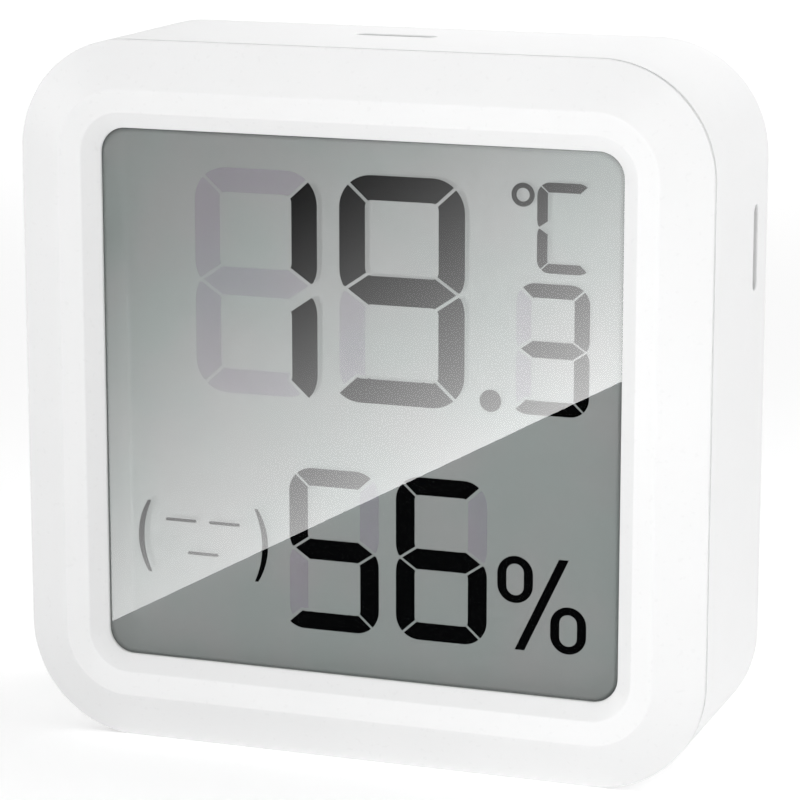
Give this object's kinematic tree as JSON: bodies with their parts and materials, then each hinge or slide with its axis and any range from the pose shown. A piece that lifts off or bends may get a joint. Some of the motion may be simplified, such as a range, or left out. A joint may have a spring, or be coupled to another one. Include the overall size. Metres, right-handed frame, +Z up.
{
  "type": "temperature and humidity sensor",
  "caption": "Small square room sensor with a bevelled front, a reflective digit display, a deep rear housing, a coin-cell door and a push button.",
  "frame": {"origin": "bottom centre of the whole body, on the surface it stands on", "axes": "+Z up, -Y out of the display, +X to the right as one reads the display"},
  "size_m": [0.043, 0.014, 0.043],
  "materials": {
    "case_plastic": "fine moulded white plastic",
    "window_plastic": "clear gloss",
    "adhesive_tape": "thin foam tape",
    "polariser_film": "clear grey film",
    "display_glass": "clear",
    "seal_resin": "cured resin",
    "dark_liquid_crystal": "opaque dark segments",
    "idle_liquid_crystal": "faint segments",
    "reflector_film": "satin silver grey film",
    "carrier_plastic": "moulded plastic",
    "contact_rubber": "layered conductive rubber",
    "board_laminate": "green solder mask",
    "copper": "plated copper",
    "screw_steel": "zinc plated",
    "chip_plastic": "moulded black resin",
    "crystal_can": "nickel plated lid",
    "sensor_plastic": "moulded black resin",
    "capacitor_ceramic": "tan ceramic",
    "resistor_ceramic": "black glaze",
    "cell_steel": "nickel plated",
    "contact_steel": "spring steel, nickel plated",
    "gasket_plastic": "polypropylene",
    "lithium": "dull silver",
    "separator_cloth": "non-woven",
    "cathode_pellet": "pressed powder",
    "switch_plastic": "moulded black plastic",
    "plunger_plastic": "moulded natural plastic"
  },
  "bodies": {
    "housing": {"front_bezel": "case_plastic", "lens_tape": "adhesive_tape", "window_lens": "window_plastic", "front_polariser": "polariser_film", "front_glass": "display_glass", "edge_seal": "seal_resin", "lit_segments": "dark_liquid_crystal", "idle_segments": "idle_liquid_crystal", "rear_glass": "display_glass", "reflector_film": "reflector_film", "display_carrier": "carrier_plastic", "contact_strip": "contact_rubber", "circuit_board": "board_laminate", "display_pads": "copper", "board_screws": "screw_steel", "radio_chip": "chip_plastic", "timing_crystal": "crystal_can", "humidity_sensor": "sensor_plastic", "capacitors": "capacitor_ceramic", "resistors": "resistor_ceramic", "antenna_trace": "copper", "cell_can": "cell_steel", "cell_cap": "cell_steel", "cell_gasket": "gasket_plastic", "lithium_disc": "lithium", "cell_separator": "separator_cloth", "cathode_pellet": "cathode_pellet", "negative_contact": "contact_steel", "positive_contact": "contact_steel", "rear_housing": "case_plastic", "switch_body": "switch_plastic"},
    "door": {"battery_door": "case_plastic"},
    "button": {"push_button": "case_plastic", "switch_plunger": "plunger_plastic"}
  },
  "joints": [
    {"name": "door_turn", "type": "hinge", "parent": "housing", "child": "door", "pos_m": [0, 0.006, 0.0195], "axis": [0, 1, 0], "range_deg": [0, 40]},
    {"name": "button_press", "type": "slide", "parent": "housing", "child": "button", "axis": [0, -1, 0], "range_m": [0, 0.0003], "stiffness_N_per_m": 3000}
  ]
}
